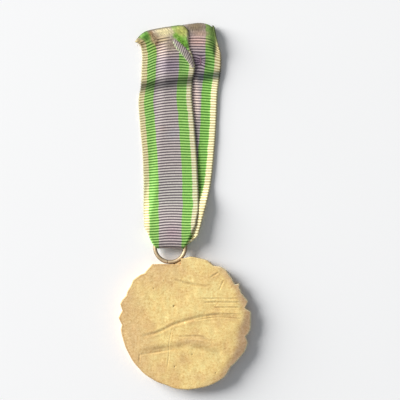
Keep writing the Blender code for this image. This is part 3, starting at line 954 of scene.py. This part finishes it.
def make_disc():
    """The cast disc, one closed mesh: scored reverse, leafy edge and the relief of the obverse."""
    rings, turns = 150, 900
    angle = np.arange(turns) * 360.0 / turns
    edge = edge_radius(angle) + 0.05 * wavy(angle, 0 * angle, 42, 2.0)
    share = np.linspace(0, 1, rings) ** 0.85
    share[0] = 0.0
    cos, sin = np.cos(np.radians(angle)), np.sin(np.radians(angle))
    x, y = share[:, None] * edge * cos, share[:, None] * edge * sin
    s = np.broadcast_to(share[:, None], x.shape)
    top, slope, dirt_and_shade = reverse_shape(x, y, s)
    relief = np.clip(obverse_relief(x, y), 0, 1)
    rim = smooth_step(0.955, 0.99, s)
    bottom = FIELD_HEIGHT * (1 - relief) * (1 - rim) + rim * (0.12 + 0.3 * smooth_step(0.985, 1.0, s))
    bottom = bottom + 0.02 * np.abs(wavy(x, y, 41, 1.2))
    ripple = 0.07 * np.sin(np.radians(angle) * 95) * ((angle > 186) & (angle < 222))
    layers = [np.stack([x[k], y[k], top[k]], axis=1) for k in range(rings)]
    for level_share, grow in ((0.8, 0.02), (0.5, ripple - 0.02), (0.2, ripple - 0.06)):
        r = edge + grow
        h = top[-1] * level_share + bottom[-1] * (1 - level_share)
        layers.append(np.stack([r * cos, r * sin, h], axis=1))
    layers += [np.stack([x[k], y[k], bottom[k]], axis=1) for k in range(rings - 1, -1, -1)]
    points = np.vstack(layers) + np.array([*DISC_CENTRE, 0.0])
    quads = wrapped_faces(len(layers), turns, flip=True)
    side = np.zeros((3, turns))
    # Painted shade along the edge rounding on the left, the side that faces the lamp.
    left_edge_shade = 1.3 * smooth_step(0.965, 0.995, s) * np.clip(0.25 - np.cos(np.radians(angle + 15)), 0, 1)
    dirt_and_shade = np.maximum(dirt_and_shade, left_edge_shade)
    low = np.clip(1 - relief[::-1], 0, 1) * (1 - rim[::-1])
    attributes = {
        "rim": np.vstack([slope, side + slope[-1], 0 * slope]).ravel(),
        "dirt_and_shade": np.vstack([np.clip(dirt_and_shade, -1, 2), side + 2.0, 0.9 * low]).ravel(),
        "dull": np.vstack([dullness(x, y), side + 0.8, 0.3 + 0 * slope]).ravel(),
        # Painted highlight: a whitish line along the right rim's very edge.
        "painted_edge_highlight": np.vstack([smooth_step(0.978, 0.99, s) * slope, side + slope[-1], 0 * slope]).ravel(),
    }
    disc = make_mesh("gilt_disc", points, quads, attributes)
    disc.modifiers.new("Close the middle", "WELD").merge_threshold = WELD_DISTANCE
    return disc


def dullness(x, y):
    """Where the gilding is duller: along the left side, the upper left, and in two rubbed clouds."""
    left = smooth_step(-6.0, -17.5, x + 0.25 * y)
    upper = smooth_step(6.0, 16.0, y) * smooth_step(6.0, -4.0, x) * 0.8
    clouds = 0.7 * spot(x, y, (1.5, -5.3), (6.5, 1.8)) + 0.5 * spot(x, y, (4.0, -16.0), (5.0, 2.0))
    return np.clip(np.maximum(left, upper) + clouds + 0.18 * wavy(x, y, 61, 2.5), 0, 1)


def gilt_material():
    """Matte cast gilding: a sandy grain, duller and pinker where the gold is thin, dirt in the marks, a
    painted highlight along the right rim's very edge and painted shade along the left edge.
    """
    material, tree, shader = new_material("cast_gilt")
    place = object_place(tree)
    grain = noise(tree, place, 4200.0, 3.0, 0.65)
    sand = noise(tree, place, 1500.0, 5.0, 0.65)
    patches = noise(tree, place, 220.0, 4.0, 0.6)
    gold = [(0.35, linear(240, 206, 140)), (0.5, linear(250, 222, 150)), (0.66, linear(255, 234, 162))]
    colour = ramp(tree, patches, gold)
    dull = times(tree, attribute(tree, "dull"), 0.8)
    colour = mix_colour(tree, dull, colour, linear(230, 196, 144))
    colour = mix_colour(tree, attribute(tree, "rim"), colour, linear(230, 196, 154))
    # Painted highlight along the right rim's very edge.
    colour = mix_colour(tree, attribute(tree, "painted_edge_highlight"), colour, linear(240, 234, 196))
    # Dirt in the marks, on the walls and in the field, and the painted shade along the left edge.
    dirt_and_shade = times(tree, attribute(tree, "dirt_and_shade"), 0.42)
    colour = mix_colour(tree, dirt_and_shade, colour, linear(126, 92, 56))
    speck = ramp(tree, sand, [(0.30, (0.80, 0.70, 0.56)), (0.44, (0.96, 0.92, 0.86)),
                              (0.58, (1.02, 1.03, 1.05)), (0.72, (1.22, 1.26, 1.34))])
    colour = mix_colour(tree, 1.0, colour, speck, "MULTIPLY")
    tone = ramp(tree, grain, [(0.3, (0.88, 0.82, 0.76)), (0.7, (1.16, 1.18, 1.22))])
    colour = mix_colour(tree, 1.0, colour, tone, "MULTIPLY")
    shader.inputs["Metallic"].default_value = 0.2
    vary_roughness(tree, shader, sand, 0.56, 0.72)
    height = maths(tree, "ADD", times(tree, grain, 0.5), sand)
    surface(tree, shader, colour, height, 0.45, 0.05)
    return material


# ---- ring and lug
LUG_ANGLE = -62  # which way the lug lies from the ring's centre, in degrees from +X
LUG_HEIGHT = 1.15
RING_BOX = [np.array(corner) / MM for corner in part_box("suspension_ring")]
WIRE_RADIUS = (RING_BOX[1][2] - RING_BOX[0][2]) / 2
RING_RADIUS = (RING_BOX[1][0] - RING_BOX[0][0]) / 2 - WIRE_RADIUS


def make_ring():
    """The bent wire, a hair out of round, with the nick of its butt joint at the bottom."""
    turns, sides = 240, 24
    turn = np.arange(turns) * math.tau / turns
    around = np.arange(sides) * math.tau / sides
    joint = np.exp(-(((turn - math.radians(262)) / 0.018) ** 2))
    wire = WIRE_RADIUS * (1 + 0.015 * np.sin(3 * turn + 1) - 0.18 * joint)
    radius = RING_RADIUS * (1 + 0.006 * np.cos(2 * turn + 0.6))
    r = radius[:, None] + wire[:, None] * np.cos(around)
    z = RING_CENTRE[2] + wire[:, None] * np.sin(around)
    x = RING_CENTRE[0] + r * np.cos(turn)[:, None]
    y = RING_CENTRE[1] + r * np.sin(turn)[:, None]
    # Painted highlight along the wire's top and bottom and painted shade along its sides, with less highlight
    # at the joint's nick.
    painted_sheen = np.broadcast_to(np.abs(np.sin(around)), r.shape) * (1 - 0.7 * joint[:, None])
    points = np.stack([x, y, z], axis=-1).reshape(-1, 3)
    quads = wrapped_faces(turns, sides, closed=True, flip=True)
    return make_mesh("ring_wire", points, quads, {"painted_sheen": painted_sheen.ravel()})


def make_braze():
    """The lump of solder and cast lug that holds the wire's outer half to the disc's edge."""
    rows, turns = 40, 64
    up = np.linspace(-math.pi / 2, math.pi / 2, rows)
    around = np.arange(turns) * math.tau / turns
    heading = math.radians(LUG_ANGLE)
    u = 1.25 * np.cos(up)[:, None] * np.cos(around)
    v = 1.95 * np.cos(up)[:, None] * np.sin(around)
    lump = 1 + 0.06 * wavy(u, v, 71, 0.8)
    w = 1.12 * np.sin(up)[:, None] * (1 - 0.12 * np.cos(around)) * lump
    u, v = u * lump + 5.75 - 0.16 * v * v, v * lump
    x = RING_CENTRE[0] + u * math.cos(heading) - v * math.sin(heading)
    y = RING_CENTRE[1] + u * math.sin(heading) + v * math.cos(heading)
    z = np.maximum(LUG_HEIGHT + w, 0.03)  # flattened where it would reach the floor
    points = np.stack([x, y, z], axis=-1).reshape(-1, 3)
    flat = np.zeros(len(points))
    attributes = {"dull": flat + 1.0, "dirt_and_shade": flat + 1.0, "rim": flat, "painted_edge_highlight": flat}
    braze = make_mesh("braze_fillet", points, wrapped_faces(rows, turns), attributes)
    braze.modifiers.new("Close the poles", "WELD").merge_threshold = WELD_DISTANCE
    return braze


def wire_material():
    """Bronze wire with patches of tarnish: painted shade, brown, along its sides and a painted highlight
    along its top and bottom.
    """
    material, tree, shader = new_material("bronze_wire")
    place = object_place(tree)
    patches = noise(tree, place, 700.0, 4.0, 0.6)
    painted_sheen = attribute(tree, "painted_sheen")
    # The painted highlight and shade, broken up by random patches of tarnish.
    mix_level = maths(tree, "ADD", painted_sheen, spread(tree, patches, 0.5))
    colour = ramp(tree, mix_level, [(0.25, linear(92, 76, 52)), (0.62, linear(140, 120, 90)),
                               (0.84, linear(196, 172, 136)), (1.0, linear(218, 194, 158))])
    shader.inputs["Metallic"].default_value = 0.45
    fine = noise(tree, place, 3000.0, 3.0, 0.6)
    vary_roughness(tree, shader, fine, 0.42, 0.60)
    surface(tree, shader, colour, fine, 0.25, 0.03)
    return material


def thread_material():
    """Sewing thread, dull purple-brown with a fine twist."""
    material, tree, shader = new_material("sewing_thread")
    place = object_place(tree)
    twist = noise(tree, place, 5000.0, 2.0, 0.5)
    colour = ramp(tree, twist, [(0.35, linear(74, 48, 66)), (0.65, linear(128, 88, 108))])
    shader.inputs["Roughness"].default_value = 0.7
    surface(tree, shader, colour, twist, 0.5, 0.05)
    return material


# ---- stage
def make_floor(z):
    bpy.ops.mesh.primitive_plane_add(size=6.0, location=(0, 0, z))
    floor = bpy.context.object
    floor.name = "floor"
    material, _, shader = new_material("pale_floor")
    shader.inputs["Base Color"].default_value = (*linear(250, 251, 253), 1.0)
    shader.inputs["Roughness"].default_value = 0.9
    shader.inputs["Specular IOR Level"].default_value = 0.1
    floor.data.materials.append(material)


def make_light():
    """A broad window low on the left and a pale room, so shadows fall soft and long to the lower right."""
    window = bpy.data.lights.new("window_light", "AREA")
    window.shape = "DISK"
    window.size = 4.0
    window.energy = 668.0
    window.color = (1.0, 0.985, 0.96)
    lamp = bpy.data.objects.new("window_light", window)
    lamp.location = (-4.2, 2.12, 1.42)
    lamp.rotation_euler = (-lamp.location).to_track_quat("-Z", "Y").to_euler()
    bpy.context.scene.collection.objects.link(lamp)
    world = bpy.data.worlds.new("studio")
    bpy.context.scene.world = world
    world.use_nodes = True
    background = world.node_tree.nodes["Background"].inputs
    background["Color"].default_value = (0.95, 0.975, 1.0, 1.0)
    background["Strength"].default_value = 0.268


def make_camera():
    """Looks straight down from above a point a little right of and above the medal's middle."""
    field = 0.1165  # metres of floor across the picture
    lens, sensor = 150.0, 36.0
    data = bpy.data.cameras.new("camera")
    data.lens = lens
    data.sensor_width = sensor
    distance = field * lens / sensor
    camera = bpy.data.objects.new("camera", data)
    camera.location = (0.0044, 0.0017, distance + 0.0015)
    bpy.context.scene.collection.objects.link(camera)
    bpy.context.scene.camera = camera
    bpy.context.scene.view_settings.view_transform = "Standard"


def paint(obj, material):
    obj.data.materials.clear()
    obj.data.materials.append(material)


def main():
    make_camera()
    make_light()
    make_floor(CAD_BOX[0].z - 0.02 * MM)
    cloth = ribbon_material()
    gilt = gilt_material()
    wire = wire_material()

    front, bend, rear = make_ribbon()
    for piece in (front, bend, rear):
        paint(piece, cloth)
    for piece in (front, rear):
        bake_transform(piece)
    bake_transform(bend)
    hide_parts("ribbon_front_upper", "ribbon_turned_end")
    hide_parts("ribbon_rear_upper", "ribbon_rear_lower")
    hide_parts("ribbon_turn", "ribbon_front_lower")

    frays = make_frays()
    paint(frays, cloth)
    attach(frays, "ribbon_top")

    disc = make_disc()
    paint(disc, gilt)
    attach(disc, "medal")
    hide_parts("medal_disc")

    ring = make_ring()
    paint(ring, wire)
    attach(ring, "medal")
    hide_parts("suspension_ring")

    braze = make_braze()
    paint(braze, gilt)
    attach(braze, "medal")
    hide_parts("suspension_lug")

    thread = thread_material()
    for name in ("hem_thread", "ribbon_stitch"):
        paint(frame["nodes"][name], thread)


main()
